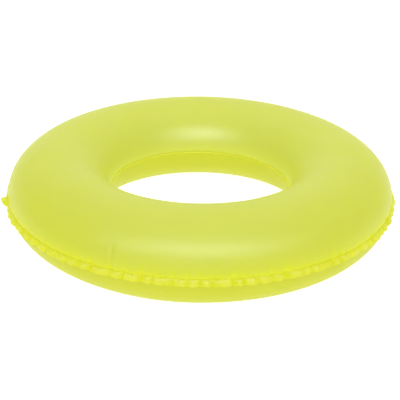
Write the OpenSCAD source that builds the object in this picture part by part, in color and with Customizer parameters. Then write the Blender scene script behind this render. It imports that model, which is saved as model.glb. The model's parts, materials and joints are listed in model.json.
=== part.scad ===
// Inflatable swim ring: two welded film annuli with an air valve.
// Millimetres, +Z up. The origin is on the ground, at the centre of the hole.
// The valve stands on the upper film at +Y, on the outer slope of the tube.

/* [Ring] */
// Diameter of the outer weld line, inflated
weld_d = 736; // [640:4:800]
// Diameter of the inner weld line around the hole
hole_d = 350; // [300:2:380]
// Height of the tube before it settles on the ground
tube_h = 162; // [150:1:180]
// Section radius of the tube's inner and outer shoulders
shoulder_r = 72; // [66:1:74]
// Thickness of the film
film_t = 0.3; // [0.3:0.1:0.8]
// How far the underside is pressed flat by the ground
rest_cut = 0.3; // [0.2:0.1:1]

/* [Welds] */
// Width of the outer weld flange beyond its bend
outer_rim_w = 12; // [6:0.5:14]
// How far the outer weld flange hangs below the horizontal
outer_rim_droop = 45; // [0:5:60]
// Width of the inner weld flange inside the hole
inner_rim_w = 3; // [2:0.5:8]
// Overlap of each weld flange under the films' edges
rim_lap = 2; // [1:0.5:4]

/* [Valve] */
// Angle of the valve's axis above the horizontal
valve_tilt = 32; // [25:1:36]
// Diameter of the disc welded onto the film
flange_d = 38; // [32:1:40]
// Thickness of the welded disc
flange_t = 1; // [0.6:0.1:1.6]
// Diameter of the disc's opening, which the sleeve hangs in
neck_d = 20; // [18:0.5:22]
// Diameter of the hole in the film
film_hole_d = 21; // [20:0.5:23]
// Outer diameter of the stem
stem_d = 12.4; // [11:0.2:13]
// Diameter of the stem's bore, which takes a pump nozzle
bore_d = 8; // [7:0.2:8.4]
// Length of the stem below the film
stem_depth = 16; // [14:0.5:20]
// Height of the stem's lip above the film
lip_h = 2.4; // [2.4:0.1:3]
// Diameter of the lip
lip_d = 14.4; // [14:0.2:16]
// Wall of the folding sleeve
sleeve_t = 0.6; // [0.5:0.1:0.8]

/* [Plug] */
// Diameter of the plug's head
head_d = 16; // [15:0.5:18]
// Thickness of the plug's head
head_t = 1.8; // [1.4:0.1:2.4]
// Length of the tapered stopper
stopper_len = 6; // [4:0.5:6]
// Diameter of the stopper's lower end
stopper_end_d = 5; // [4:0.2:5.2]
// Distance from the valve's axis to the strap's bend
hinge_x = 11.4; // [11:0.2:13]
// Width of the strap
strap_w = 5; // [4:0.5:6]
// Thickness of the strap
strap_t = 0.8; // [0.6:0.1:0.9]

/* [Flap] */
// Diameter of the non-return flap
flap_d = 11.4; // [10:0.2:12]
// Thickness of the flap
flap_t = 0.5; // [0.4:0.1:0.8]

/* [Hidden] */

film_colour = [0.85, 0.88, 0.33];
weld_colour = [0.91, 0.93, 0.34];
valve_colour = [0.88, 0.90, 0.60];

weld_r = weld_d / 2;
hole_r = hole_d / 2;
tube_mid_r = (weld_r + hole_r) / 2;      // radius of the ring at the middle of the tube
half_w = (weld_r - hole_r) / 2;
half_h = tube_h / 2;
tube_mid_z = half_h - rest_cut;

bend_out = 2 * film_t;                   // where the outer flange bends, beyond the weld line

// The tube's section is an oval of four arcs that meet tangentially: two
// shoulders and two crowns.
shoulder_x = half_w - shoulder_r;
crown_r = (pow(shoulder_x, 2) + pow(half_h, 2) - pow(shoulder_r, 2)) / (2 * (half_h - shoulder_r));
crown_y = crown_r - half_h;

// The valve stands where the outer shoulder's surface faces along valve_tilt.
valve_y = tube_mid_r + shoulder_x + shoulder_r * cos(valve_tilt);
valve_z = tube_mid_z + shoulder_r * sin(valve_tilt);

fit_gap = 0.15;                          // radial play of the stopper in the bore
seat_gap = 0.1;                          // play between faces that open and close
lip_t = 1.6;
stem_top = lip_h;
head_z = stem_top + seat_gap;
strap_bend_r = 0.9;                      // middle radius of the strap's bend
sleeve_top = 0.3;                        // the sleeve's top edge lies inside the disc's opening
sleeve_knee = -1.5;                      // where the sleeve turns in towards the stem
sleeve_foot = 1;                         // height of the sleeve's foot above the stem's end
flap_top = -stem_depth - seat_gap;
tab_len = 4;                             // the plug's pull tab beyond its head
tab_w = 6;
reach = 60;                              // longer than any part of the valve

$fn = 120;

// The tube's outline in section, grown outwards by g and cut flat at height floor_y.
module tube_outline(g, floor_y) {
    join_x = shoulder_x * (crown_r + g) / (crown_r - shoulder_r);
    translate([tube_mid_r, tube_mid_z])
        intersection() {
            union() {
                for (side = [-1, 1]) translate([side * shoulder_x, 0]) circle(shoulder_r + g);
                intersection() {
                    crown_lens(g);
                    square([2 * join_x, 2 * tube_h], center = true);
                }
            }
            translate([-weld_r, floor_y - tube_mid_z]) square([2 * weld_r, 2 * tube_h]);
        }
}

// The lens that the two crown arcs enclose.
module crown_lens(g) {
    intersection() {
        translate([0, -crown_y]) circle(crown_r + g);
        translate([0, crown_y]) circle(crown_r + g);
    }
}

// The wall between two outlines of the tube, in section.
module wall_outline(outer_g, inner_g) {
    difference() {
        tube_outline(outer_g, -outer_g);
        tube_outline(inner_g, -inner_g);
    }
}

// Half of the film's wall: up = 1 above the welds, -1 below them.
module film_half(up) {
    rotate_extrude()
        intersection() {
            wall_outline(0, -film_t);
            translate([0, up > 0 ? tube_mid_z + film_t : -tube_h])
                square([weld_d, up > 0 ? tube_h : tube_h + tube_mid_z - film_t]);
        }
}

// A straight run of a weld flange in section, two films thick, starting at the origin.
module weld_run(length) {
    translate([0, -film_t]) square([length, 2 * film_t]);
}

// Places the valve's parts: local Z points out of the film, local Y down its slope.
module at_valve() {
    translate([0, valve_y, valve_z]) rotate([valve_tilt - 90, 0, 0]) children();
}

module upper_film() {
    color(film_colour)
        difference() {
            film_half(1);
            at_valve() translate([0, 0, -reach / 2]) cylinder(d = film_hole_d, h = reach);
        }
}

module lower_film() {
    color(film_colour) film_half(-1);
}

// The outer flange lies flat between the films' edges, then hangs down outside them.
module outer_weld_rim() {
    color(weld_colour)
        rotate_extrude()
            translate([weld_r, tube_mid_z]) {
                translate([-rim_lap, 0]) weld_run(rim_lap + bend_out);
                translate([bend_out, 0]) {
                    circle(film_t);
                    rotate(-outer_rim_droop) weld_run(outer_rim_w);
                }
            }
}

// The inner flange stands flat in the hole.
module inner_weld_rim() {
    color(weld_colour)
        rotate_extrude()
            translate([hole_r - inner_rim_w, tube_mid_z]) weld_run(inner_rim_w + rim_lap);
}

// The soft disc follows the film's outer face.
module valve_flange() {
    color(valve_colour)
        intersection() {
            rotate_extrude() wall_outline(flange_t, 0);
            at_valve()
                translate([0, 0, -reach / 2])
                    difference() {
                        cylinder(d = flange_d, h = reach);
                        cylinder(d = neck_d, h = reach);
                    }
        }
}

// The thin wall from the disc down to the stem's foot, folded inwards.
module valve_sleeve() {
    top_r = neck_d / 2;
    foot_r = stem_d / 2;
    foot_z = -stem_depth + sleeve_foot;
    color(valve_colour)
        at_valve()
            rotate_extrude()
                polygon([
                    [top_r, sleeve_top],
                    [top_r, sleeve_knee],
                    [foot_r + 2 * sleeve_t, foot_z],
                    [foot_r, foot_z],
                    [foot_r, foot_z + sleeve_t],
                    [foot_r + sleeve_t, foot_z + sleeve_t],
                    [top_r - sleeve_t, sleeve_knee],
                    [top_r - sleeve_t, sleeve_top]
                ]);
}

module valve_stem() {
    color(valve_colour)
        at_valve()
            difference() {
                union() {
                    translate([0, 0, -stem_depth]) cylinder(d = stem_d, h = stem_depth + stem_top);
                    translate([0, 0, stem_top - lip_t]) cylinder(d = lip_d, h = lip_t);
                }
                translate([0, 0, -reach / 2]) cylinder(d = bore_d, h = reach);
            }
}

// The strap leaves the lip, bends back over its hinge line and joins the head.
module plug_strap() {
    bend_z = head_z;
    bend_x = hinge_x - strap_bend_r / 2;
    color(valve_colour)
        at_valve()
            translate([0, strap_w / 2, 0])
                rotate([90, 0, 0])
                    linear_extrude(strap_w) {
                        translate([bend_x, bend_z])
                            difference() {
                                circle(strap_bend_r + strap_t / 2);
                                circle(strap_bend_r - strap_t / 2);
                                translate([-reach, -reach / 2]) square([reach, reach]);
                            }
                        strap_run(lip_d / 2, bend_x, bend_z - strap_bend_r);
                        strap_run(head_d / 2, bend_x, bend_z + strap_bend_r);
                    }
}

// One straight run of the strap in section, from x0 to x1 with its middle at y.
module strap_run(x0, x1, y) {
    translate([x0, y - strap_t / 2]) square([x1 - x0, strap_t]);
}

module valve_plug() {
    color(valve_colour)
        at_valve() {
            translate([0, 0, head_z]) {
                cylinder(d = head_d, h = head_t);
                translate([-head_d / 2 - tab_len, -tab_w / 2, head_t / 2])
                    cube([head_d / 2 + tab_len, tab_w, head_t / 2]);
            }
            translate([0, 0, head_z - stopper_len])
                cylinder(d1 = stopper_end_d, d2 = bore_d - 2 * fit_gap, h = stopper_len);
        }
}

// The flap closes the stem's foot from inside and hangs on its -X edge.
module check_flap() {
    color(valve_colour)
        at_valve() translate([0, 0, flap_top - flap_t]) cylinder(d = flap_d, h = flap_t);
}

upper_film();
lower_film();
outer_weld_rim();
inner_weld_rim();
valve_flange();
valve_sleeve();
valve_stem();
plug_strap();
valve_plug();
check_flap();
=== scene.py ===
import json
import math

import bmesh
import bpy
from mathutils import Matrix, Vector


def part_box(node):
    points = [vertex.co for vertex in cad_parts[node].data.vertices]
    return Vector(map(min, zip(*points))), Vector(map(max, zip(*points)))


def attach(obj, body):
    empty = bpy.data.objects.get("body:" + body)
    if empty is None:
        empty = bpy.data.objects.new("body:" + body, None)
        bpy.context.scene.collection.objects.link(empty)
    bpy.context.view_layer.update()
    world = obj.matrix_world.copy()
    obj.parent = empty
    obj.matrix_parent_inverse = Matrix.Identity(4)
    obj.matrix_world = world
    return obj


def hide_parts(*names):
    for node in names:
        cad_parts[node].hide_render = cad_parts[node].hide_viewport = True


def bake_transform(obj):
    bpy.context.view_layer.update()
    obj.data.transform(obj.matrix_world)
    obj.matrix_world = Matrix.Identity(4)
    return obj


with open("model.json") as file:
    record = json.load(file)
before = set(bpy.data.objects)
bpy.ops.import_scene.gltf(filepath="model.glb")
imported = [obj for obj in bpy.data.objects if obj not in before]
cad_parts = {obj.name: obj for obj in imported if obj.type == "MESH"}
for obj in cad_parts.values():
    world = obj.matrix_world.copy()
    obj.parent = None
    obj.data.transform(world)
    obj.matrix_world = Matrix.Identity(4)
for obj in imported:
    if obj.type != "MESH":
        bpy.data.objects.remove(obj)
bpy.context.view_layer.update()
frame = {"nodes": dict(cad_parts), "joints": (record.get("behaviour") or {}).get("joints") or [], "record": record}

mm = 0.001


# the ring's own measures, read from the frame
filmLow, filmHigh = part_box("upper_film")
holeLow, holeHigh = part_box("inner_weld_rim")
mounts = {mount["name"]: mount for mount in frame["record"]["mounts"]}
joints = {joint["name"]: joint for joint in frame["joints"]}

ring = {
    "weldRadius": (filmHigh.x - filmLow.x) / 2,
    "holeRadius": (holeHigh.x - holeLow.x) / 2 - 2 * mm,  # the flange laps 2 mm under the film
    "midHeight": (holeLow.z + holeHigh.z) / 2,
    "halfHeight": filmHigh.z - (holeLow.z + holeHigh.z) / 2,
    "shoulderRadius": 72 * mm,  # the tube's section is tightest at its inner and outer shoulders
    "filmThickness": 0.35 * mm,
    "around": 1040,             # faces round the ring
    "across": 46,               # faces from the outer weld to the inner one
    "outerRows": 0.3,           # spacing of the rows at the outer weld, against the mean
    "innerRows": 0.7,           # the same at the inner weld
    "undulation": 0.5 * mm,     # broad unevenness of the whole film
    "noseDepth": 0.6 * mm,      # the film stands this far proud just above and below the inner weld
}

pleat = {
    "waves": 90.0,        # pillows round the ring
    "jitter": 6.0,        # how far the waves slide from an even pitch, in radians
    "depth": 2.6 * mm,    # how far a valley cuts in at the weld
    "reach": 13 * mm,     # how far a valley runs up the film
    "rise": 0.9 * mm,     # how far the weld line climbs and drops
    "lift": 2.4 * mm,     # how high it runs above the ring's middle
    "seed": 3.7,
}

valve = {
    "lip": 2.4 * mm,          # the mouth stands this far above the film
    "calmRadius": 26 * mm,    # the film is even within this of the valve
    "filmHole": 10.5 * mm,    # radius of the hole in the film
    "drillLength": 30 * mm,   # long enough to pass right through the film's curve
}


# camera first
cameraSettings = {
    "place": (0.0, -1.774, 0.8943),
    "aim": (0.0001, 0.0, 0.0505),
    "roll": 0.8,              # degrees
    "lens": 90.3,
}


def lookFrom(place, aim):
    # where a camera or a light stands, turned to what it aims at
    turn = (Vector(aim) - Vector(place)).to_track_quat("-Z", "Y").to_matrix().to_4x4()
    return Matrix.Translation(place) @ turn


def makeCamera(s):
    data = bpy.data.cameras.new("camera")
    data.lens = s["lens"]
    data.sensor_width = 36
    data.clip_start = 0.05
    data.clip_end = 60
    camera = bpy.data.objects.new("camera", data)
    bpy.context.scene.collection.objects.link(camera)
    camera.matrix_world = lookFrom(s["place"], s["aim"]) @ Matrix.Rotation(math.radians(s["roll"]), 4, "Z")
    bpy.context.scene.camera = camera
    print("camera set")


makeCamera(cameraSettings)


# the valve's place: side is along the ring, down is down its slope, out is off the film
valveOut = Vector(mounts["valve_mouth"]["axis"])
valveSide = Vector((1, 0, 0))
valveDown = valveOut.cross(valveSide)
valveCentre = Vector(mounts["valve_mouth"]["pos_m"]) - valveOut * valve["lip"]
toValve = Matrix((valveSide, valveDown, valveOut)).transposed().to_4x4()
toValve.translation = valveCentre
hinge = toValve.inverted() @ Vector(joints["plug_swing"]["pos_m"])
alongRing = valveCentre.y / valveOut.y  # how the film curves along the ring there, as a radius


# small helpers for node trees
class Wire:
    # one number in a node tree, so that the rule of a shape reads as a formula

    def __init__(self, tree, socket):
        self.tree = tree
        self.socket = socket

    def do(self, operation, *others):
        node = self.tree.nodes.new("ShaderNodeMath")
        node.operation = operation
        for socket, value in zip(node.inputs, (self, *others)):
            plug(self.tree, value, socket)
        return Wire(self.tree, node.outputs[0])

    def __add__(self, other):
        return self.do("ADD", other)

    def __radd__(self, other):
        return self.do("ADD", other)

    def __sub__(self, other):
        return self.do("SUBTRACT", other)

    def __rsub__(self, other):
        return self.do("MULTIPLY", -1.0).do("ADD", other)

    def __mul__(self, other):
        return self.do("MULTIPLY", other)

    def __rmul__(self, other):
        return self.do("MULTIPLY", other)

    def __truediv__(self, other):
        return self.do("DIVIDE", other)

    def __rtruediv__(self, other):
        return self.do("POWER", -1.0).do("MULTIPLY", other)

    def __pow__(self, other):
        return self.do("POWER", other)

    def __neg__(self):
        return self.do("MULTIPLY", -1.0)


def plug(tree, value, socket):
    # sends a wire, a socket or a plain value into a socket
    if isinstance(value, Wire):
        tree.links.new(value.socket, socket)
    elif isinstance(value, bpy.types.NodeSocket):
        tree.links.new(value, socket)
    else:
        socket.default_value = value


def sine(x):
    return x.do("SINE")


def cosine(x):
    return x.do("COSINE")


def fade(distance, reach, power=1.0):
    # 1 where distance is nothing, falling away over reach
    return (-((distance.do("ABSOLUTE") / reach) ** power)).do("EXPONENT")


def vector(tree, x, y, z):
    node = tree.nodes.new("ShaderNodeCombineXYZ")
    for value, socket in zip((x, y, z), node.inputs):
        plug(tree, value, socket)
    return node.outputs[0]


def noise(tree, place, scale, detail=0.0):
    node = tree.nodes.new("ShaderNodeTexNoise")
    plug(tree, scale, node.inputs["Scale"])
    node.inputs["Detail"].default_value = detail
    tree.links.new(place, node.inputs["Vector"])
    return Wire(tree, node.outputs["Fac"])


def roundNoise(tree, angle, frequency, seed, detail=0.0):
    # noise read on a circle, so that it closes on itself: about -1 to 1
    place = vector(tree, cosine(angle) * frequency, sine(angle) * frequency, seed)
    return noise(tree, place, 1.0, detail) * 2.0 - 1.0


def newGroup(name, kind, takes, gives):
    tree = bpy.data.node_groups.new(name, kind)
    for label, value in takes.items():
        socket = tree.interface.new_socket(label, in_out="INPUT", socket_type="NodeSocketFloat")
        socket.default_value = value
    for label, socketType in gives.items():
        tree.interface.new_socket(label, in_out="OUTPUT", socket_type=socketType)
    start = tree.nodes.new("NodeGroupInput")
    end = tree.nodes.new("NodeGroupOutput")
    wires = {label: Wire(tree, start.outputs[label]) for label in takes}
    return tree, wires, end


# the puckers' rhythm, shared by both films and the flange between them
rhythmGives = ("Bulge", "Strength", "Reach", "Rise")
# how often each measure changes on the way round
changes = {"slide": 9.0, "slant": 14.0, "strength": 17.0, "reach": 26.0, "rise": 34.0}
fineFolds = {"waves": 163.0, "jitter": 5.0, "depth": 0.12}


def makeRhythm():
    takes = {"Angle": 0.0, "Waves": pleat["waves"], "Jitter": pleat["jitter"], "Seed": pleat["seed"]}
    tree, w, end = newGroup("puckerRhythm", "GeometryNodeTree", takes,
                            {label: "NodeSocketFloat" for label in rhythmGives})
    angle = w["Angle"]
    slide = roundNoise(tree, angle, changes["slide"], w["Seed"], 1.0)
    phase = angle * w["Waves"] + slide * w["Jitter"]
    wave = sine(phase / 2.0)
    pillow = (wave * wave + 0.02) ** 0.5  # round crests between sharp valleys
    slant = roundNoise(tree, angle, changes["slant"], w["Seed"] + 17.0)
    folds = sine(angle * fineFolds["waves"] + slant * fineFolds["jitter"])
    # each noise is read at its own distance from the seed, so that none repeats another
    strength = roundNoise(tree, angle, changes["strength"], w["Seed"] + 5.0, 1.0)
    reach = roundNoise(tree, angle, changes["reach"], w["Seed"] + 11.0, 1.0)
    rise = roundNoise(tree, angle, changes["rise"], w["Seed"] + 23.0, 1.0) * 1.4 + cosine(phase) * 0.35
    results = {
        "Bulge": pillow - folds.do("ABSOLUTE") * fineFolds["depth"],
        "Strength": (strength * 1.2 + 0.8).do("MAXIMUM", 0.25),
        "Reach": (reach * 1.8 + 0.9).do("MAXIMUM", 0.4),
        "Rise": rise,
    }
    for label, value in results.items():
        tree.links.new(value.socket, end.inputs[label])
    return tree


rhythm = makeRhythm()


def rhythmOf(tree, angle, w):
    node = tree.nodes.new("GeometryNodeGroup")
    node.node_tree = rhythm
    plug(tree, angle, node.inputs["Angle"])
    for label in ("Waves", "Jitter", "Seed"):
        plug(tree, w[label], node.inputs[label])
    return [Wire(tree, node.outputs[label]) for label in rhythmGives]


def gridOf(tree, around, across):
    # a unit sheet of faces, with the two shares that say where a point is on it
    grid = tree.nodes.new("GeometryNodeMeshGrid")
    grid.inputs["Vertices X"].default_value = around + 1
    grid.inputs["Vertices Y"].default_value = across + 1
    place = tree.nodes.new("GeometryNodeInputPosition")
    split = tree.nodes.new("ShaderNodeSeparateXYZ")
    tree.links.new(place.outputs[0], split.inputs[0])
    shareAround = Wire(tree, split.outputs["X"]) + 0.5
    shareAcross = Wire(tree, split.outputs["Y"]) + 0.5
    return grid, shareAround, shareAcross


def keep(tree, geometry, name, value):
    # stores a number on every point for the materials
    node = tree.nodes.new("GeometryNodeStoreNamedAttribute")
    node.data_type = "FLOAT"
    node.domain = "POINT"
    node.inputs["Name"].default_value = name
    tree.links.new(geometry, node.inputs["Geometry"])
    tree.links.new(value.socket, node.inputs["Value"])
    return node.outputs["Geometry"]


def finishTree(tree, geometry, end, material):
    # every tree that makes a mesh ends this way
    smooth = tree.nodes.new("GeometryNodeSetShadeSmooth")
    tree.links.new(geometry, smooth.inputs[0])
    real = tree.nodes.new("GeometryNodeRealizeInstances")
    tree.links.new(smooth.outputs[0], real.inputs[0])
    paint = tree.nodes.new("GeometryNodeSetMaterial")
    paint.inputs["Material"].default_value = material
    tree.links.new(real.outputs[0], paint.inputs[0])
    tree.links.new(paint.outputs[0], end.inputs["Geometry"])


def closeRing(tree, geometry, place, flip):
    # moves the sheet's points round the ring and closes it
    move = tree.nodes.new("GeometryNodeSetPosition")
    tree.links.new(geometry, move.inputs["Geometry"])
    tree.links.new(place, move.inputs["Position"])
    last = move.outputs[0]
    if flip:
        turned = tree.nodes.new("GeometryNodeFlipFaces")
        tree.links.new(last, turned.inputs[0])
        last = turned.outputs[0]
    merge = tree.nodes.new("GeometryNodeMergeByDistance")
    merge.inputs["Distance"].default_value = 0.01 * mm
    tree.links.new(last, merge.inputs[0])
    return merge.outputs[0]


pleatInputs = {"Waves": "waves", "Jitter": "jitter", "Seed": "seed", "Pleat Depth": "depth",
               "Pleat Reach": "reach", "Rise": "rise", "Lift": "lift"}
ringInputs = {"Weld Radius": "weldRadius", "Hole Radius": "holeRadius", "Mid Height": "midHeight",
              "Half Height": "halfHeight", "Shoulder": "shoulderRadius", "Outer Rows": "outerRows",
              "Inner Rows": "innerRows", "Undulation": "undulation", "Nose": "noseDepth"}


def startValues():
    values = {label: ring[key] for label, key in ringInputs.items()}
    values.update({label: pleat[key] for label, key in pleatInputs.items()})
    return values


# one inflated film: up is 1 for the upper one and -1 for the lower one
dent = {
    "angle": math.pi + 0.41,
    "width": 0.011,           # radians
    "fromWeld": 34 * mm,      # the dent's middle; a faint crease leads up to it from the weld
    "length": 9 * mm,
    "depth": 2.2 * mm,
}


def makeFilmTree(name, up, material):
    takes = startValues()
    takes.update({"Calm Radius": valve["calmRadius"], "Dent Depth": dent["depth"]})
    tree, w, end = newGroup(name, "GeometryNodeTree", takes, {"Geometry": "NodeSocketGeometry"})
    grid, shareAround, s = gridOf(tree, ring["around"], ring["across"])
    angle = shareAround * math.tau

    # rows stand closer at both welds: a cubic with a set slope at each end
    outer = w["Outer Rows"]
    square = 3.0 - outer * 2.0 - w["Inner Rows"]
    cube = 1.0 - outer - square
    theta = (outer * s + square * s ** 2.0 + cube * s ** 3.0) * math.pi

    # the oval section: shoulders at both ends, a flatter crown between them
    halfWidth = (w["Weld Radius"] - w["Hole Radius"]) / 2.0
    middle = (w["Weld Radius"] + w["Hole Radius"]) / 2.0
    shoulderX = halfWidth - w["Shoulder"]
    rise = w["Half Height"] - w["Shoulder"]
    crown = (shoulderX ** 2.0 + w["Half Height"] ** 2.0 - w["Shoulder"] ** 2.0) / (rise * 2.0)
    joinAngle = (crown - w["Half Height"]).do("ARCTAN2", shoulderX)
    outside = theta.do("LESS_THAN", joinAngle)
    inside = theta.do("GREATER_THAN", math.pi - joinAngle)
    onCrown = 1.0 - outside - inside
    bend = w["Shoulder"] + (crown - w["Shoulder"]) * onCrown
    across = middle + shoulderX * (outside - inside) + bend * cosine(theta)
    height = bend * sine(theta) - (crown - w["Half Height"]) * onCrown
    fromWeld = theta * w["Shoulder"]
    fromNose = (math.pi - theta) * w["Shoulder"]

    # valleys between pillows, which narrow and fade as they run up the film
    bulge, strength, reachShare, climb = rhythmOf(tree, angle, w)
    reach = w["Pleat Reach"] * reachShare
    valley = (1.0 - bulge).do("MAXIMUM", 0.0) ** (1.0 + fromWeld / reach * 1.6)
    depth = w["Pleat Depth"] * strength / reachShare.do("MAXIMUM", 1.0)
    pucker = -depth * valley * fade(fromWeld, reach, 1.4)

    # one long crease that ends in a small dent
    turn = (angle - dent["angle"]).do("ABSOLUTE")
    creaseLine = fade(turn, dent["width"] * 0.7, 2.0) * fade(fromWeld, dent["fromWeld"], 6.0) * 0.45
    dimple = fade(turn, dent["width"], 2.0) * fade(fromWeld - dent["fromWeld"], dent["length"], 2.0)
    crease = -w["Dent Depth"] * (creaseLine + dimple) * float(up > 0)

    # broad unevenness, the soft nose at the inner weld, and an even patch round the valve
    wide = roundNoise(tree, angle, 2.2, theta * 1.2 + w["Seed"], 1.0) * w["Undulation"]
    wide = wide * (1.0 - fade(fromWeld, 12 * mm))
    nose = w["Nose"] * fade(fromNose, 11 * mm)
    push = pucker + crease + wide + nose
    if up > 0:
        east = sine(angle) * across - valveCentre.x
        north = cosine(angle) * across - valveCentre.y
        above = w["Mid Height"] + height - valveCentre.z
        distance = (east * east + north * north + above * above) ** 0.5
        push = push * (1.0 - fade(distance, w["Calm Radius"], 8.0))

    radius = across + cosine(theta) * push
    z = w["Mid Height"] + (height + sine(theta) * push) * float(up)
    z = z + (w["Lift"] + w["Rise"] * climb) * fade(fromWeld, 9 * mm)
    z = z.do("MAXIMUM", 0.05 * mm)  # pressed flat by what it lies on
    place = vector(tree, sine(angle) * radius, cosine(angle) * radius, z)

    geometry = keep(tree, grid.outputs["Mesh"], "fromWeld", fromWeld)
    geometry = keep(tree, geometry, "fromNose", fromNose)
    geometry = keep(tree, geometry, "gather", valley * strength * fade(fromWeld, reach, 2.0))
    finishTree(tree, closeRing(tree, geometry, place, up > 0), end, material)
    return tree


# the outer flange, where the films are melted together: it hangs in soft pillows
outerFlange = {
    "width": 12.5 * mm,
    "lap": 1.5 * mm,       # flat stretch between the films' edges
    "droop": 0.95,         # radians below the horizontal at the weld
    "curl": 0.45,          # how much further it turns down towards its edge
    "ruffle": 0.35,        # how much a pillow lifts above a valley
    "puff": 1.6 * mm,      # how round each pillow is
    "wander": 0.4,         # how much its slope changes on the way round, in radians
    "crinkle": 0.3 * mm,
    "flickAngle": 4.52,    # where a short piece of it stands straight out
    "flickWidth": 0.03,    # how long that piece is, in radians
    "flickLift": 0.95,     # how far it is turned up, in radians
    "thickness": 0.7 * mm,
    "around": 2080,
    "across": 10,
}


def makeOuterFlangeTree(s, material):
    takes = startValues()
    takes.update({"Width": s["width"], "Lap": s["lap"], "Droop": s["droop"], "Curl": s["curl"],
                  "Ruffle": s["ruffle"], "Puff": s["puff"], "Wander": s["wander"], "Crinkle": s["crinkle"],
                  "Flick Lift": s["flickLift"]})
    tree, w, end = newGroup("outerFlangeTree", "GeometryNodeTree", takes, {"Geometry": "NodeSocketGeometry"})
    grid, shareAround, shareAcross = gridOf(tree, s["around"], s["across"])
    angle = shareAround * math.tau
    bulge, strength, _, climb = rhythmOf(tree, angle, w)
    out = (w["Width"] + w["Lap"]) * shareAcross - w["Lap"]
    free = out.do("MAXIMUM", 0.0)
    lapped = out.do("MINIMUM", 0.0)
    share = free / w["Width"]
    wander = roundNoise(tree, angle, 8.0, w["Seed"] + 41.0, 1.0) * w["Wander"]
    flick = w["Flick Lift"] * fade(angle - s["flickAngle"], s["flickWidth"], 4.0)
    tilt = w["Droop"] + wander - w["Ruffle"] * strength * (bulge - 0.62) + w["Curl"] * share / 2.0 - flick
    crinkle = roundNoise(tree, angle, 34.0, share * 1.6 + w["Seed"] + 53.0, 1.0) * w["Crinkle"] * share ** 0.5
    puff = w["Puff"] * strength.do("MINIMUM", 1.2) * bulge * share * (1.3 - share) * 2.4
    gathered = w["Pleat Depth"] * strength * (1.0 - bulge).do("MAXIMUM", 0.0)
    weldLine = w["Weld Radius"] - gathered * (1.0 - share * 0.7)
    radius = weldLine + lapped + free * cosine(tilt) + (crinkle + puff) * sine(tilt)
    z = w["Mid Height"] + w["Lift"] + w["Rise"] * climb - free * sine(tilt) + (crinkle + puff) * cosine(tilt)
    place = vector(tree, sine(angle) * radius, cosine(angle) * radius, z)
    geometry = keep(tree, grid.outputs["Mesh"], "fromWeld", out)
    geometry = keep(tree, geometry, "gather", strength * (1.0 - bulge).do("MAXIMUM", 0.0))
    finishTree(tree, closeRing(tree, geometry, place, False), end, material)
    return tree


# the inner flange: narrow and smooth, standing into the hole
innerFlange = {
    "width": 3 * mm,
    "lap": 1.8 * mm,       # flat stretch between the films' edges
    "tilt": -0.6,          # rise for each step into the hole, so it hangs
    "waver": 0.25 * mm,    # how far its edge wanders up and down
    "thickness": 0.7 * mm,
    "around": 1040,
    "across": 5,
}


def makeInnerFlangeTree(s, material):
    takes = startValues()
    takes.update({"Width": s["width"], "Lap": s["lap"], "Tilt": s["tilt"], "Waver": s["waver"]})
    tree, w, end = newGroup("innerFlangeTree", "GeometryNodeTree", takes, {"Geometry": "NodeSocketGeometry"})
    grid, shareAround, shareAcross = gridOf(tree, s["around"], s["across"])
    angle = shareAround * math.tau
    out = (w["Width"] + w["Lap"]) * shareAcross - w["Lap"]
    free = out.do("MAXIMUM", 0.0)
    waver = roundNoise(tree, angle, 16.0, w["Seed"] + 61.0, 2.0) * w["Waver"] * free / w["Width"] * 2.0
    radius = w["Hole Radius"] - out
    z = w["Mid Height"] + free * w["Tilt"] + waver
    place = vector(tree, sine(angle) * radius, cosine(angle) * radius, z)
    geometry = keep(tree, grid.outputs["Mesh"], "fromWeld", out)
    finishTree(tree, closeRing(tree, geometry, place, True), end, material)
    return tree


# turning trees and outlines into plain meshes
def showMesh(name, mesh):
    mesh.name = name
    piece = bpy.data.objects.new(name, mesh)
    bpy.context.scene.collection.objects.link(piece)
    return piece


def runTree(name, tree):
    # runs a tree once and keeps the plain mesh
    holder = bpy.data.objects.new(name + "Holder", bpy.data.meshes.new(name + "Holder"))
    bpy.context.scene.collection.objects.link(holder)
    grower = holder.modifiers.new("grower", "NODES")
    grower.node_group = tree
    graph = bpy.context.evaluated_depsgraph_get()
    mesh = bpy.data.meshes.new_from_object(holder.evaluated_get(graph), depsgraph=graph)
    bpy.data.objects.remove(holder)
    return mesh


def bakeModifiers(piece):
    graph = bpy.context.evaluated_depsgraph_get()
    done = bpy.data.meshes.new_from_object(piece.evaluated_get(graph), depsgraph=graph)
    done.name = piece.data.name
    piece.modifiers.clear()
    piece.data = done


def growSheet(name, tree, thickness, offset):
    piece = showMesh(name, runTree(name, tree))
    wall = piece.modifiers.new("wall", "SOLIDIFY")
    wall.thickness = thickness
    wall.offset = offset
    bakeModifiers(piece)
    print(f"{name}: {len(piece.data.polygons)} faces")
    return piece


def cutHole(piece, radius, length):
    # drills the film at the valve
    bm = bmesh.new()
    bmesh.ops.create_cone(bm, cap_ends=True, segments=64, radius1=radius, radius2=radius, depth=length)
    bmesh.ops.transform(bm, matrix=toValve, verts=bm.verts)
    cutter = showMesh("holeCutter", bpy.data.meshes.new("holeCutter"))
    bm.to_mesh(cutter.data)
    bm.free()
    drill = piece.modifiers.new("drill", "BOOLEAN")
    drill.operation = "DIFFERENCE"
    drill.object = cutter
    bakeModifiers(piece)
    bpy.data.objects.remove(cutter)


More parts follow.
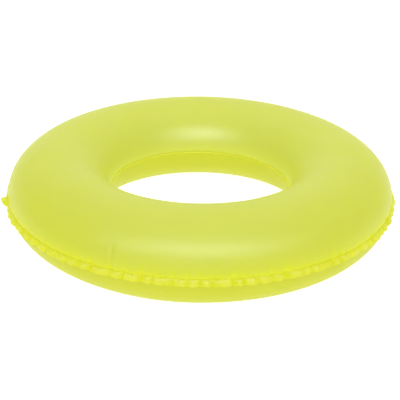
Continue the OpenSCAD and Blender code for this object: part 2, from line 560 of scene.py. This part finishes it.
def rounded(corners, steps=4):
    # an outline of (radius, height, fillet) corners with each fillet drawn as a short curve
    points = []
    count = len(corners)
    for index, (x, y, fillet) in enumerate(corners):
        here = Vector((x, y))
        before = Vector(corners[index - 1][:2]) - here
        after = Vector(corners[(index + 1) % count][:2]) - here
        if not fillet:
            points.append(here)
            continue
        half = before.angle(after) / 2
        reach = min(fillet / math.tan(half), before.length * 0.49, after.length * 0.49)
        first = here + before.normalized() * reach
        last = here + after.normalized() * reach
        for step in range(steps + 1):
            share = step / steps
            points.append(first * (1 - share) ** 2 + here * 2 * share * (1 - share) + last * share ** 2)
    return points


def spin(outline, around):
    # turns a closed outline of (radius, height) points round the valve's axis
    bm = bmesh.new()
    rings = []
    for step in range(around):
        turn = math.tau * step / around
        rings.append([bm.verts.new((p.x * math.cos(turn), p.x * math.sin(turn), p.y)) for p in outline])
    for step in range(around):
        ringA = rings[step]
        ringB = rings[(step + 1) % around]
        for index in range(len(outline)):
            after = (index + 1) % len(outline)
            if max(outline[index].x, outline[after].x) > 0:
                bm.faces.new((ringA[index], ringB[index], ringB[after], ringA[after]))
    bmesh.ops.remove_doubles(bm, verts=bm.verts, dist=0.001 * mm)
    bmesh.ops.recalc_face_normals(bm, faces=bm.faces)
    return bm


def finishValvePiece(name, bm, material, extra=None):
    # moves a shape made round the valve's axis to its place on the film
    if extra:
        bm.from_mesh(extra)
    bmesh.ops.transform(bm, matrix=toValve, verts=bm.verts)
    for face in bm.faces:
        face.smooth = True
    piece = showMesh(name, bpy.data.meshes.new(name))
    bm.to_mesh(piece.data)
    bm.free()
    piece.data.materials.clear()
    piece.data.materials.append(material)
    print(f"{name}: {len(piece.data.polygons)} faces")
    return piece


def filmDrop(x, y):
    # how far the film falls away from the valve's own plane at (x, y)
    return -(y * y) / (2 * ring["shoulderRadius"]) - (x * x) / (2 * alongRing)


def joinSlices(slices, fillet, segments):
    # a closed bar through slices of four corners each, with its sharp edges rounded
    bm = bmesh.new()
    previous = None
    for corners in slices:
        row = [bm.verts.new(corner) for corner in corners]
        if previous:
            for a in range(4):
                b = (a + 1) % 4
                bm.faces.new((previous[a], previous[b], row[b], row[a]))
        else:
            bm.faces.new(row)
        previous = row
    bm.faces.new(previous[::-1])
    bmesh.ops.recalc_face_normals(bm, faces=bm.faces)
    sharp = [edge for edge in bm.edges if len(edge.link_faces) == 2 and edge.calc_face_angle() > 0.8]
    bmesh.ops.bevel(bm, geom=sharp, offset=fillet, segments=segments, affect="EDGES", profile=0.5)
    return bm


# bars that repeat: ribs pressed into the valve's disc and grips on the plug's tab
def startBars(name, s, extra):
    # a line of points, one for each bar, with the inputs that size the bars
    takes = {"Bar Length": s["length"], "Bar Width": s["width"], "Bar Height": s["height"],
             "Level": s["level"]} | extra
    tree, w, end = newGroup(name, "GeometryNodeTree", takes, {"Geometry": "NodeSocketGeometry"})
    line = tree.nodes.new("GeometryNodeMeshLine")
    line.inputs["Count"].default_value = s["count"]
    index = Wire(tree, tree.nodes.new("GeometryNodeInputIndex").outputs[0])
    return tree, w, end, line, index


def finishBars(tree, w, end, line, spot, turn, material):
    # puts each point at its spot and a small drawn-out ball on it, turned about the valve's axis
    put = tree.nodes.new("GeometryNodeSetPosition")
    tree.links.new(line.outputs[0], put.inputs["Geometry"])
    tree.links.new(spot, put.inputs["Position"])
    ball = tree.nodes.new("GeometryNodeMeshUVSphere")
    ball.inputs["Segments"].default_value = 10
    ball.inputs["Rings"].default_value = 6
    ball.inputs["Radius"].default_value = 0.5
    copies = tree.nodes.new("GeometryNodeInstanceOnPoints")
    tree.links.new(put.outputs[0], copies.inputs["Points"])
    tree.links.new(ball.outputs["Mesh"], copies.inputs["Instance"])
    tree.links.new(vector(tree, 0.0, 0.0, turn), copies.inputs["Rotation"])
    tree.links.new(vector(tree, w["Bar Length"], w["Bar Width"], w["Bar Height"]), copies.inputs["Scale"])
    finishTree(tree, copies.outputs[0], end, material)
    return tree


def makeRibTree(s, material):
    # spokes that follow the film's curve
    tree, w, end, line, index = startBars("discRibTree", s, {"Radius": s["radius"]})
    turn = index * (math.tau / s["count"])
    x = cosine(turn) * w["Radius"]
    y = sine(turn) * w["Radius"]
    z = y * y / (-2 * ring["shoulderRadius"]) + x * x / (-2 * alongRing) + w["Level"]
    return finishBars(tree, w, end, line, vector(tree, x, y, z), turn, material)


def makeGripTree(s, material):
    # bars that lie side by side across the tab
    tree, w, end, line, index = startBars("tabGripTree", s, {"Start": s["start"], "Pitch": s["pitch"]})
    spot = vector(tree, w["Start"] + index * w["Pitch"], 0.0, w["Level"])
    return finishBars(tree, w, end, line, spot, math.pi / 2, material)


# materials: effects that more than one of them uses are groups
def objectPlace(tree):
    return tree.nodes.new("ShaderNodeTexCoord").outputs["Object"]


def stretch(tree, place, x, y, z):
    node = tree.nodes.new("ShaderNodeVectorMath")
    node.operation = "MULTIPLY"
    tree.links.new(place, node.inputs[0])
    node.inputs[1].default_value = (x, y, z)
    return node.outputs[0]


def makeFrostGroup():
    # fine grain of a frosted film, its cloudy thickness and the faint scuffs of handling
    takes = {"Grain Size": 0.6 * mm, "Cloud Size": 90 * mm}
    gives = {"Grain": "NodeSocketFloat", "Cloud": "NodeSocketFloat", "Scuffs": "NodeSocketFloat"}
    tree, w, end = newGroup("frost", "ShaderNodeTree", takes, gives)
    place = objectPlace(tree)
    grain = noise(tree, place, 1.0 / w["Grain Size"], 1.0)
    cloud = noise(tree, place, 1.0 / w["Cloud Size"], 2.0)
    streaks = noise(tree, stretch(tree, place, 18.0, 420.0, 260.0), 1.0, 1.0)
    patches = noise(tree, place, 11.0, 1.0)
    scuffs = ((streaks - 0.62) * 9.0).do("MAXIMUM", 0.0) * ((patches - 0.5) * 4.0).do("MAXIMUM", 0.0)
    tree.links.new(grain.socket, end.inputs["Grain"])
    tree.links.new(((cloud - 0.5) * 2.2 + 0.5).socket, end.inputs["Cloud"])
    tree.links.new(scuffs.do("MINIMUM", 1.0).socket, end.inputs["Scuffs"])
    return tree


def makeRadialGroup():
    # lines that run out from the ring's axis: stretch marks at the welds and the die's hatch
    takes = {"Across": 0.0, "Line Pitch": 2 * mm, "Line Length": 60 * mm, "Hatch Pitch": 1.3 * mm}
    gives = {"Lines": "NodeSocketFloat", "Hatch": "NodeSocketFloat"}
    tree, w, end = newGroup("radialMarks", "ShaderNodeTree", takes, gives)
    split = tree.nodes.new("ShaderNodeSeparateXYZ")
    tree.links.new(objectPlace(tree), split.inputs[0])
    east = Wire(tree, split.outputs["X"])
    north = Wire(tree, split.outputs["Y"])
    radius = (east * east + north * north) ** 0.5
    middle = (ring["weldRadius"] + ring["holeRadius"]) / 2
    around = middle / w["Line Pitch"]
    place = vector(tree, east / radius * around, north / radius * around, w["Across"] / w["Line Length"])
    lines = noise(tree, place, 1.0, 2.0)
    turn = east.do("ARCTAN2", north) * middle
    wave = math.tau / w["Hatch Pitch"]
    hatch = sine((turn + w["Across"]) * wave) * sine((turn - w["Across"]) * wave)
    tree.links.new(lines.socket, end.inputs["Lines"])
    tree.links.new(hatch.socket, end.inputs["Hatch"])
    return tree


frost = makeFrostGroup()
radialMarks = makeRadialGroup()


def addGroup(tree, group, values):
    node = tree.nodes.new("ShaderNodeGroup")
    node.node_tree = group
    for label, value in values.items():
        plug(tree, value, node.inputs[label])
    return {socket.name: Wire(tree, socket) for socket in node.outputs}


def newMaterial(name):
    material = bpy.data.materials.new(name)
    material.use_nodes = True
    tree = material.node_tree
    return material, tree, tree.nodes["Principled BSDF"]


def setPlain(shader, values):
    for label, value in values.items():
        shader.inputs[label].default_value = value


def mixColours(tree, share, first, second):
    node = tree.nodes.new("ShaderNodeMix")
    node.data_type = "RGBA"
    plug(tree, share, node.inputs["Factor"])
    plug(tree, first, node.inputs["A"])
    plug(tree, second, node.inputs["B"])
    return node.outputs["Result"]


def addBump(tree, shader, height, distance, strength=1.0):
    node = tree.nodes.new("ShaderNodeBump")
    node.inputs["Distance"].default_value = distance
    node.inputs["Strength"].default_value = strength
    plug(tree, height, node.inputs["Height"])
    tree.links.new(node.outputs["Normal"], shader.inputs["Normal"])


def readValue(tree, name):
    node = tree.nodes.new("ShaderNodeAttribute")
    node.attribute_name = name
    return Wire(tree, node.outputs["Fac"])


# the films and flanges glow though no lamp lights them: painted light that lifts their shade evenly, most beside
# the welds
paintedGlowColour = (0.76, 0.78, 0.02, 1)
# painted light added in the pucker valleys, at the inner weld's nose and along the outer weld, filling the shade
# of those creases
paintedCreaseGlow = {"gathered": 0.03, "nose": 0.08, "weld": 0.11}

# the upper film is given paler, bluer colours than the lower one though both are one film: a painted highlight on
# the top
upperLook = {
    "pale": (0.675, 0.725, 0.135, 1),
    "deep": (0.69, 0.735, 0.020, 1),
    "plain": {"Transmission Weight": 0.3, "IOR": 1.5, "Specular IOR Level": 0.25, "Emission Color": paintedGlowColour},
    "roughness": 0.44,
    "paintedNoseShading": -0.5,      # towards the inner weld the film turns deeper if this is above 0, paler if below: here paler, a painted highlight on the inner slope
    "glow": 0.11,
}
# the lower film is given a deeper, darker yellow than the upper one: painted shade underneath
lowerLook = {
    "pale": (0.65, 0.68, 0.042, 1),
    "deep": (0.64, 0.67, 0.036, 1),
    "plain": {"Transmission Weight": 0.3, "IOR": 1.5, "Specular IOR Level": 0.15, "Emission Color": paintedGlowColour},
    "roughness": 0.5,
    # deeper yellow towards the inner weld: painted shade inside the hole
    "paintedNoseShading": 1.0,
    "glow": 0.10,
}


def makeFilmMaterial(name, s):
    material, tree, shader = newMaterial(name)
    setPlain(shader, s["plain"])
    fromWeld = readValue(tree, "fromWeld")
    fromNose = readValue(tree, "fromNose")
    marks = addGroup(tree, radialMarks, {"Across": fromWeld, "Line Length": 45 * mm})
    look = addGroup(tree, frost, {})
    gather = readValue(tree, "gather").do("MINIMUM", 1.0)
    # painted shading: deeper yellow within 20 mm of the outer weld and in the pucker valleys is painted shade in
    # those creases; the third term paints the film deeper or paler towards the inner weld
    paintedShading = fade(fromWeld, 20 * mm) + gather * 0.8 + fade(fromNose, 80 * mm, 2.0) * s["paintedNoseShading"]
    lines = (marks["Lines"] - 0.5) * fade(fromWeld, 22 * mm)
    # painted light at both welds and in the valleys, filling their shade, on top of the film's even painted glow
    atWelds = fade(fromNose, 12 * mm) * paintedCreaseGlow["nose"] + fade(fromWeld, 5 * mm) * paintedCreaseGlow["weld"]
    glow = s["glow"] + gather * paintedCreaseGlow["gathered"] + atWelds
    tree.links.new(glow.socket, shader.inputs["Emission Strength"])
    share = (paintedShading * 0.8 + (look["Cloud"] - 0.5) * 0.2 - lines * 0.6 + 0.3).do("MAXIMUM", 0.0)
    colour = mixColours(tree, share.do("MINIMUM", 1.0), s["pale"], s["deep"])
    tree.links.new(colour, shader.inputs["Base Color"])
    rough = s["roughness"] + (look["Grain"] - 0.5) * 0.1 + (look["Cloud"] - 0.5) * 0.06
    rough = rough - look["Scuffs"] * 0.08
    tree.links.new(rough.socket, shader.inputs["Roughness"])
    addBump(tree, shader, look["Grain"] * 0.03 + lines * 0.2 + look["Scuffs"] * 0.04, 0.5 * mm)
    return material


weldLook = {
    "pale": (0.78, 0.80, 0.075, 1),
    "deep": (0.68, 0.70, 0.015, 1),
    "plain": {"Transmission Weight": 0.15, "IOR": 1.5, "Specular IOR Level": 0.16, "Emission Color": paintedGlowColour},
    "roughness": 0.42,
    "glow": 0.10,
    "paintedHighlightLine": 6.5 * mm,  # the painted highlight along the pillows runs this far out from the weld
}


def makeWeldMaterial(s):
    material, tree, shader = newMaterial("weldedFilm")
    setPlain(shader, s["plain"])
    fromWeld = readValue(tree, "fromWeld")
    marks = addGroup(tree, radialMarks, {"Across": fromWeld, "Line Length": 12 * mm})
    look = addGroup(tree, frost, {})
    gather = readValue(tree, "gather").do("MINIMUM", 1.0)
    # painted shading: palest along a line through the pillows' middle, a painted highlight, and deeper towards
    # both edges and in the valleys between pillows, painted shade
    offPaintedHighlight = (fromWeld / s["paintedHighlightLine"] - 1.0) ** 2.0
    marked = look["Cloud"] * 0.15 + (marks["Lines"] - 0.5) * 0.3 + marks["Hatch"] * 0.05
    share = (marked + gather * 1.3 + offPaintedHighlight * 0.6 - 0.1).do("MAXIMUM", 0.0).do("MINIMUM", 1.0)
    tree.links.new(mixColours(tree, share, s["pale"], s["deep"]), shader.inputs["Base Color"])
    # painted light: an even glow of the flange's own, with more in the valleys and along the weld, filling their
    # shade
    glow = s["glow"] + gather * 0.05 + fade(fromWeld, 3 * mm) * 0.03
    tree.links.new(glow.socket, shader.inputs["Emission Strength"])
    rough = s["roughness"] + (marks["Lines"] - 0.5) * 0.1 + (look["Grain"] - 0.5) * 0.06
    tree.links.new(rough.socket, shader.inputs["Roughness"])
    addBump(tree, shader, marks["Hatch"] * 0.03 + marks["Lines"] * 0.02 + look["Grain"] * 0.02, 0.4 * mm)
    return material


valveLook = {
    "pale": (0.84, 0.87, 0.50, 1),
    "deep": (0.80, 0.84, 0.34, 1),
    "plain": {"Transmission Weight": 0.3, "IOR": 1.5},
    "roughness": 0.33,
}


def makeValveMaterial(s):
    material, tree, shader = newMaterial("milkyMoulding")
    setPlain(shader, s["plain"])
    look = addGroup(tree, frost, {"Grain Size": 0.35 * mm, "Cloud Size": 7 * mm})
    share = (look["Cloud"] * 0.8 + look["Scuffs"] * 0.3).do("MAXIMUM", 0.0).do("MINIMUM", 1.0)
    tree.links.new(mixColours(tree, share, s["pale"], s["deep"]), shader.inputs["Base Color"])
    rough = s["roughness"] + (look["Grain"] - 0.5) * 0.12 + look["Scuffs"] * 0.1
    tree.links.new(rough.socket, shader.inputs["Roughness"])
    addBump(tree, shader, look["Grain"] * 0.08 + look["Scuffs"] * 0.1, 0.3 * mm)
    return material


upperMaterial = makeFilmMaterial("frostedFilm", upperLook)
lowerMaterial = makeFilmMaterial("frostedFilmBelow", lowerLook)
weldMaterial = makeWeldMaterial(weldLook)
valveMaterial = makeValveMaterial(valveLook)
print("materials made")


# the two films and the two welded flanges
upperTree = makeFilmTree("upperFilmTree", 1, upperMaterial)
upperFilm = growSheet("upperFilm", upperTree, ring["filmThickness"], -1)
cutHole(upperFilm, valve["filmHole"], valve["drillLength"])
lowerTree = makeFilmTree("lowerFilmTree", -1, lowerMaterial)
lowerFilm = growSheet("lowerFilm", lowerTree, ring["filmThickness"], -1)
outerTree = makeOuterFlangeTree(outerFlange, weldMaterial)
outerWeld = growSheet("outerWeld", outerTree, outerFlange["thickness"], 0)
innerTree = makeInnerFlangeTree(innerFlange, weldMaterial)
innerWeld = growSheet("innerWeld", innerTree, innerFlange["thickness"], 0)


# the valve's disc, pressed onto the film round the hole
disc = {
    "inner": 10 * mm,
    "outer": 19 * mm,
    "height": 1 * mm,
    "neckHeight": 1.6 * mm,   # the collar round the opening stands higher
    "foot": -0.1 * mm,        # the underside sinks into the film
    "bead": 0.25 * mm,        # a raised line near the edge
    "around": 120,
    "ribs": {"count": 60, "radius": 15.3 * mm, "length": 4.2 * mm, "width": 0.7 * mm, "height": 0.8 * mm,
             "level": 0.95 * mm},
}


def makeDisc(s):
    top = s["height"]
    outline = rounded([
        (s["inner"], s["foot"], 0),
        (s["inner"], s["neckHeight"], 0.6 * mm),
        (s["inner"] + 1.7 * mm, s["neckHeight"], 0.6 * mm),
        (s["inner"] + 2.1 * mm, top, 0.4 * mm),
        (s["outer"] - 1.6 * mm, top, 0.2 * mm),
        (s["outer"] - 1.4 * mm, top + s["bead"], 0.2 * mm),
        (s["outer"] - 0.9 * mm, top + s["bead"], 0.2 * mm),
        (s["outer"] - 0.6 * mm, top * 0.75, 0.3 * mm),
        (s["outer"], 0.25 * mm, 0.2 * mm),
        (s["outer"], s["foot"], 0),
    ])
    bm = spin(outline, s["around"])
    for vert in bm.verts:
        vert.co.z += filmDrop(vert.co.x, vert.co.y)
    ribs = runTree("discRibs", makeRibTree(s["ribs"], valveMaterial))
    return finishValvePiece("valveDisc", bm, valveMaterial, ribs)


# the sleeve: a thin wall folded in from the disc to the stem's foot
sleeve = {
    "neck": 10 * mm,       # outer radius at the disc
    "foot": 6.2 * mm,      # inner radius at the stem
    "wall": 0.6 * mm,
    "top": 0.3 * mm,
    "knee": -1.5 * mm,     # where it starts to turn inwards
    "end": -15 * mm,
    "hook": 1.2 * mm,      # height of the lip that grips the stem
    "steps": 24,
    "around": 96,
}


def makeSleeve(s):
    half = s["wall"] / 2
    neck = s["neck"] - half
    foot = s["foot"] + half
    depth = s["end"] - s["knee"]
    corners = (Vector((neck, s["knee"])), Vector((neck, s["knee"] + depth * 0.45)),
               Vector((foot + 0.3 * mm, s["end"] - depth * 0.5)), Vector((foot + 0.3 * mm, s["end"])))
    middle = [Vector((neck, s["top"]))]
    for step in range(s["steps"] + 1):
        t = step / s["steps"]
        middle.append(corners[0] * (1 - t) ** 3 + corners[1] * 3 * t * (1 - t) ** 2
                      + corners[2] * 3 * t * t * (1 - t) + corners[3] * t ** 3)
    outside, inside = [], []
    for index, point in enumerate(middle):
        run = middle[min(index + 1, len(middle) - 1)] - middle[max(index - 1, 0)]
        normal = Vector((-run.y, run.x)).normalized()
        outside.append(point + normal * half)
        inside.append(point - normal * half)
    grip = s["foot"] - 0.1 * mm
    hook = [Vector((grip, s["end"])), Vector((grip, s["end"] + s["hook"]))]
    bm = spin(outside + hook + inside[-3::-1], s["around"])
    return finishValvePiece("valveSleeve", bm, valveMaterial)


# the stem with its rounded lip
stem = {"outer": 6.2 * mm, "bore": 4 * mm, "lip": 7.2 * mm, "lipHeight": 1.6 * mm, "depth": 16 * mm,
        "around": 96}


def makeStem(s):
    top = valve["lip"]
    outline = rounded([
        (s["bore"], -s["depth"], 0.2 * mm),
        (s["bore"], top, 0.5 * mm),
        (s["lip"], top, 0.6 * mm),
        (s["lip"], top - s["lipHeight"], 0.5 * mm),
        (s["outer"], top - s["lipHeight"] - 0.5 * mm, 0.5 * mm),
        (s["outer"], -s["depth"], 0.5 * mm),
    ])
    return finishValvePiece("valveStem", spin(outline, s["around"]), valveMaterial)


# the plug: a dished head, a tapered stopper with two sealing rings, and a tab with grips
plugSizes = {
    "head": 8 * mm,
    "headThickness": 1.8 * mm,
    "dish": 0.45 * mm,
    "stopperTop": 3.85 * mm,
    "stopperEnd": 2.5 * mm,
    "stopperLength": 6 * mm,
    "ring": 0.1 * mm,                     # how far a sealing ring stands out
    "ringHalf": 0.35 * mm,
    "ringDepths": (3.6 * mm, 1.6 * mm),   # below the head
    "tabReach": 12 * mm,
    "tabWidth": 6 * mm,
    "tabThickness": 0.95 * mm,
    "tabDrop": 0.1 * mm,                  # the tab lies this far below the head's top
    "around": 96,
    "grips": {"count": 4, "length": 4.2 * mm, "width": 0.5 * mm, "height": 0.6 * mm, "start": -11 * mm,
              "pitch": 0.85 * mm},
}


def makeTab(s, top):
    # a flat tongue with a round end
    half = s["tabWidth"] / 2
    steps = 12
    stations = []
    for step in range(steps + 1):
        turn = math.pi / 2 * step / steps
        stations.append((half * (1 - math.cos(turn)) - s["tabReach"], max(half * math.sin(turn), 0.4 * mm)))
    stations.append((1 * mm - s["head"], half))
    bottom = top - s["tabThickness"]
    slices = [((x, -y, bottom), (x, y, bottom), (x, y, top), (x, -y, top)) for x, y in stations]
    bm = joinSlices(slices, 0.2 * mm, 3)
    mesh = bpy.data.meshes.new("tab")
    bm.to_mesh(mesh)
    bm.free()
    return mesh


def makePlug(s):
    base = hinge.z
    top = base + s["headThickness"]
    end = base - s["stopperLength"]
    taper = (s["stopperTop"] - s["stopperEnd"]) / s["stopperLength"]
    corners = [
        (0, end, 0),
        (s["stopperEnd"], end, 0.7 * mm),
    ]
    for depth in s["ringDepths"]:
        height = base - depth
        side = s["stopperEnd"] + (height - end) * taper
        corners += [
            (side, height - s["ringHalf"], 0),
            (side + s["ring"], height, 0.15 * mm),
            (side, height + s["ringHalf"], 0),
        ]
    corners += [
        (s["stopperTop"], base, 0.1 * mm),
        (s["head"], base, 0.5 * mm),
        (s["head"], top, 0.7 * mm),
        (s["head"] - 1.7 * mm, top, 0.4 * mm),
        (s["head"] - 2.5 * mm, top - s["dish"], 0.4 * mm),
        (0, top - s["dish"], 0),
    ]
    bm = spin(rounded(corners), s["around"])
    tabTop = top - s["tabDrop"]
    bm.from_mesh(makeTab(s, tabTop))
    grips = runTree("tabGrips", makeGripTree(s["grips"] | {"level": tabTop}, valveMaterial))
    return finishValvePiece("valvePlug", bm, valveMaterial, grips)


# the strap: a thin band that leaves the lip, turns back and joins the plug's head
strap = {
    "width": 5 * mm,
    "thick": 0.8 * mm,     # at its ends
    "thin": 0.5 * mm,      # at its bend
    "bend": 0.9 * mm,      # middle radius of the bend
    "from": 6.9 * mm,      # inside the lip's edge
    "to": 7.8 * mm,        # inside the head's edge
    "waist": 0.14,         # share of its width that it loses at the bend
    "runSteps": 6,
    "bendSteps": 16,
}


def makeStrap(s):
    bendX = hinge.x - s["bend"] / 2
    low = hinge.z - s["bend"]
    high = hinge.z + s["bend"]
    runSteps = s["runSteps"]
    path = [(s["from"] + (bendX - s["from"]) * step / runSteps, low, 0, -1) for step in range(runSteps)]
    for step in range(s["bendSteps"] + 1):
        turn = math.pi * step / s["bendSteps"] - math.pi / 2
        path.append((bendX + s["bend"] * math.cos(turn), hinge.z + s["bend"] * math.sin(turn),
                     math.cos(turn), math.sin(turn)))
    path += [(bendX + (s["to"] - bendX) * step / runSteps, high, 0, 1) for step in range(1, runSteps + 1)]
    slices = []
    for index, (x, z, normalX, normalZ) in enumerate(path):
        share = math.sin(math.pi * index / (len(path) - 1))  # 0 at both ends, 1 at the bend
        thick = (s["thick"] + (s["thin"] - s["thick"]) * share ** 3) / 2
        here = Vector((x, 0, z))
        up = Vector((normalX, 0, normalZ)) * thick
        side = Vector((0, s["width"] / 2 * (1 - s["waist"] * share ** 2), 0))
        slices.append((here - up - side, here - up + side, here + up + side, here + up - side))
    return finishValvePiece("plugStrap", joinSlices(slices, 0.15 * mm, 2), valveMaterial)


valveDisc = makeDisc(disc)
valveSleeve = makeSleeve(sleeve)
valveStem = makeStem(stem)
valvePlug = makePlug(plugSizes)
plugStrap = makeStrap(strap)
frame["nodes"]["check_flap"].material_slots[0].material = valveMaterial


# which node each piece stands for, and what it moves with
def settle(piece, node, body=None):
    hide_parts(node)
    if body:
        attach(piece, body)


settle(upperFilm, "upper_film", "ring")
settle(lowerFilm, "lower_film", "ring")
settle(outerWeld, "outer_weld_rim", "ring")
settle(innerWeld, "inner_weld_rim", "ring")
settle(valveDisc, "valve_flange", "ring")
settle(valveStem, "valve_stem", "stem")
settle(valvePlug, "valve_plug", "plug")
settle(valveSleeve, "valve_sleeve")
settle(plugStrap, "plug_strap")
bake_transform(valveSleeve)
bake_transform(plugStrap)
print("pieces placed")


# floor and light: a table lit from below, soft boxes and a white room
stage = {
    "half": 12.0,     # metres from the middle to a side
    "glow": 0.95,
    "white": 0.3,
}
# the room is darker and more yellow to the left and right
room = {"strength": 0.985, "sideLoss": 0.42, "sideColour": (1, 1, 0.4, 1)}


def makeStage(s):
    material, tree, shader = newMaterial("paleTable")
    setPlain(shader, {"Base Color": (s["white"], s["white"], s["white"], 1), "Roughness": 0.8,
                      "Emission Color": (1, 1, 1, 1), "Emission Strength": s["glow"]})
    mesh = bpy.data.meshes.new("floor")
    half = s["half"]
    corners = [(-half, -half, 0), (half, -half, 0), (half, half, 0), (-half, half, 0)]
    mesh.from_pydata(corners, [], [(0, 1, 2, 3)])
    mesh.materials.append(material)
    showMesh("floor", mesh)


cool = (0.6, 0.64, 1.0)
softBoxes = {
    "frontBox": {"place": (0.0, -0.9, 0.88), "aim": (0, 0, 0.08), "width": 1.9, "height": 0.55,
                 "power": 18, "spread": 180, "colour": cool, "inMirrorOnly": True},
    "rearBox": {"place": (0.0, -0.72, 0.98), "aim": (0, 0.225, 0.11), "width": 1.8, "height": 0.25,
                "power": 2.9, "spread": 54, "colour": cool, "inMirrorOnly": True},
    "topFill": {"place": (0.0, 0.7, 1.9), "aim": (0, 0.2, 0.1), "width": 1.4, "height": 1.4,
                "power": 5, "spread": 180, "colour": (1, 1, 1), "inMirrorOnly": False},
}


def makeSoftBox(name, s):
    data = bpy.data.lights.new(name, "AREA")
    data.shape = "ELLIPSE"
    data.size = s["width"]
    data.size_y = s["height"]
    data.energy = s["power"]
    data.color = s["colour"]
    data.spread = math.radians(s["spread"])
    light = bpy.data.objects.new(name, data)
    light.visible_diffuse = not s["inMirrorOnly"]
    light.visible_camera = False
    bpy.context.scene.collection.objects.link(light)
    light.matrix_world = lookFrom(s["place"], s["aim"])


def makeWorld(s):
    world = bpy.data.worlds.new("studio")
    bpy.context.scene.world = world
    world.use_nodes = True
    tree = world.node_tree
    sky = tree.nodes["Background"]
    across = tree.nodes.new("ShaderNodeSeparateXYZ")
    tree.links.new(tree.nodes.new("ShaderNodeTexCoord").outputs["Generated"], across.inputs[0])
    sideways = Wire(tree, across.outputs["X"]) ** 2.0
    tree.links.new(mixColours(tree, sideways, (1, 1, 1, 1), s["sideColour"]), sky.inputs["Color"])
    tree.links.new((s["strength"] - sideways * s["sideLoss"]).socket, sky.inputs["Strength"])


makeStage(stage)
makeWorld(room)
for boxName, box in softBoxes.items():
    makeSoftBox(boxName, box)
bpy.context.scene.view_settings.view_transform = "Standard"
